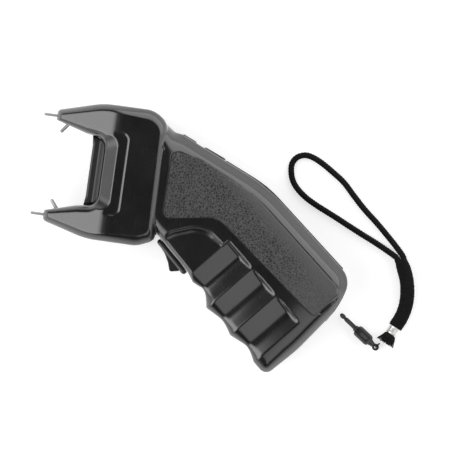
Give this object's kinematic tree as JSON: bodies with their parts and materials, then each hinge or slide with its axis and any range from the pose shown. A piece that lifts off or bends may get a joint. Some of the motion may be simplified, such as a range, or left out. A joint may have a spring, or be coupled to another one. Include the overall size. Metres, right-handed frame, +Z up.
{
  "type": "cattle prod",
  "caption": "Hand-held livestock prod with a forked electrode head, pistol grip, rocker trigger, thumb slider, battery door and a wrist strap that carries the safety plug.",
  "frame": {"origin": "centre of the device's bounding box in plan, on the surface it lies on; the wrist strap and its plug lie beside it and are not counted", "axes": "the device lies on its right side: +Z up to its left side, -X towards the electrodes, +Y towards the back of the grip"},
  "size_m": [0.2042, 0.1264, 0.038],
  "materials": {
    "casing": "black, semi-gloss, faint moulded grain",
    "grip_pad": "black, leather-like moulded grain",
    "dull_trim": "black, dull",
    "electrode_metal": "bright plated pins",
    "potting_resin": "cast resin",
    "red_insulation": "smooth lead insulation",
    "board_laminate": "green solder mask",
    "ferrite": "sintered, dull",
    "copper_wire": "enamelled winding",
    "capacitor_sleeve": "shrink sleeve",
    "black_insulation": "plain",
    "sheet_aluminium": "plain tab",
    "resistor_body": "lacquered",
    "battery_jacket": "plain jacket",
    "switch_plastic": "black, smooth",
    "button_plastic": "black, semi-gloss",
    "plated_steel": "plated",
    "ferrule_metal": "polished, crimped",
    "cord_braid": "black braid",
    "grey_plastic": "dark grey",
    "dark_metal": "blackened pin"
  },
  "bodies": {
    "root": {"left_housing": "casing", "right_housing": "casing", "left_side_pad": "grip_pad", "right_side_pad": "grip_pad", "upper_spine_strip": "dull_trim", "lower_spine_strip": "dull_trim", "electrode_carrier": "dull_trim", "upper_contact_electrode": "electrode_metal", "lower_contact_electrode": "electrode_metal", "upper_spark_electrode": "electrode_metal", "lower_spark_electrode": "electrode_metal", "high_voltage_module": "potting_resin", "upper_high_voltage_lead": "red_insulation", "lower_high_voltage_lead": "red_insulation", "circuit_board": "board_laminate", "transformer_core": "ferrite", "transformer_winding": "copper_wire", "main_capacitor": "capacitor_sleeve", "power_transistor": "black_insulation", "heat_sink": "sheet_aluminium", "board_resistor_1": "resistor_body", "board_resistor_2": "resistor_body", "board_resistor_3": "resistor_body", "battery": "battery_jacket", "battery_snap": "black_insulation", "red_battery_lead": "red_insulation", "black_battery_lead": "black_insulation", "switch_body": "switch_plastic", "rocker_pin": "plated_steel", "rocker_spring": "plated_steel", "switch_lug_1": "plated_steel", "switch_lug_2": "plated_steel", "slide_switch_case": "plated_steel", "safety_socket": "plated_steel", "socket_nut": "plated_steel", "housing_screw_1": "plated_steel", "housing_screw_2": "plated_steel", "housing_screw_3": "plated_steel", "housing_screw_4": "plated_steel", "housing_screw_5": "plated_steel"},
    "rocker": {"rocker": "button_plastic"},
    "slider": {"safety_slider": "button_plastic", "slide_switch_lever": "switch_plastic"},
    "battery_door": {"battery_door": "grip_pad"},
    "strap": {"wrist_cord": "cord_braid", "cord_sleeve": "cord_braid", "cord_ferrule": "ferrule_metal", "cord_tail": "cord_braid", "plug_tie": "cord_braid"},
    "plug": {"plug_grip": "switch_plastic", "plug_tongue": "grey_plastic", "plug_pin": "dark_metal", "plug_eye": "switch_plastic"}
  },
  "joints": [
    {"name": "rocker_press", "type": "hinge", "parent": "root", "child": "rocker", "pos_m": [-0.00624, -0.00868, 0.019], "axis": [0, 0, 1], "range_deg": [0, 7], "stiffness_Nm_per_rad": 0.06, "deforming": ["rocker_spring"]},
    {"name": "safety_slide", "type": "slide", "parent": "root", "child": "slider", "axis": [-0.9245, 0.3811, 0], "range_m": [0, 0.0045]},
    {"name": "door_slide", "type": "slide", "parent": "root", "child": "battery_door", "axis": [0.7547, -0.6561, 0], "range_m": [0, 0.005]},
    {"name": "strap_lift", "type": "slide", "parent": "root", "child": "strap", "axis": [0, 0, 1], "range_m": [0, 0.06]},
    {"name": "plug_swivel", "type": "hinge", "parent": "strap", "child": "plug", "pos_m": [0.1037, -0.0428, 0.0027], "axis": [0, 0, 1], "range_deg": [-20, 80]}
  ]
}
